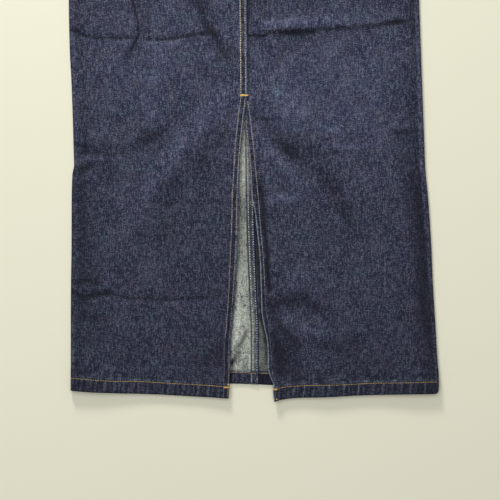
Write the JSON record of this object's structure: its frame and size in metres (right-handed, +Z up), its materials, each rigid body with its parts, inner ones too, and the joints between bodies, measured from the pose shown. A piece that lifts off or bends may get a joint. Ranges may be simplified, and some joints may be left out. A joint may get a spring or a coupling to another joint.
{
  "type": "denim skirt",
  "caption": "Long straight dark denim skirt with a centre slit, laid flat with its front up: lapped centre seam, turned hem, waistband with button and zip.",
  "frame": {"origin": "centre of the laid skirt's outline, on the surface it lies on", "axes": "+X to the wearer's left across the front, +Y from the hem to the waist, +Z up, away from the surface; the front faces +Z"},
  "size_m": [0.4804, 0.88, 0.0115],
  "materials": {
    "denim": "dark indigo one-wash twill, matt, with small light specks; pale grey-green on the wrong side",
    "seam_thread": "beige topstitching thread",
    "hem_thread": "golden orange topstitching thread",
    "zip_tape": "navy woven tape",
    "button_metal": "aged copper-coloured, satin"
  },
  "bodies": {
    "root": {"front_panel_left": "denim", "front_panel_right": "denim", "back_panel_left": "denim", "back_panel_right": "denim", "waistband": "denim", "zip": "zip_tape", "waist_button": "button_metal"}
  },
  "joints": []
}
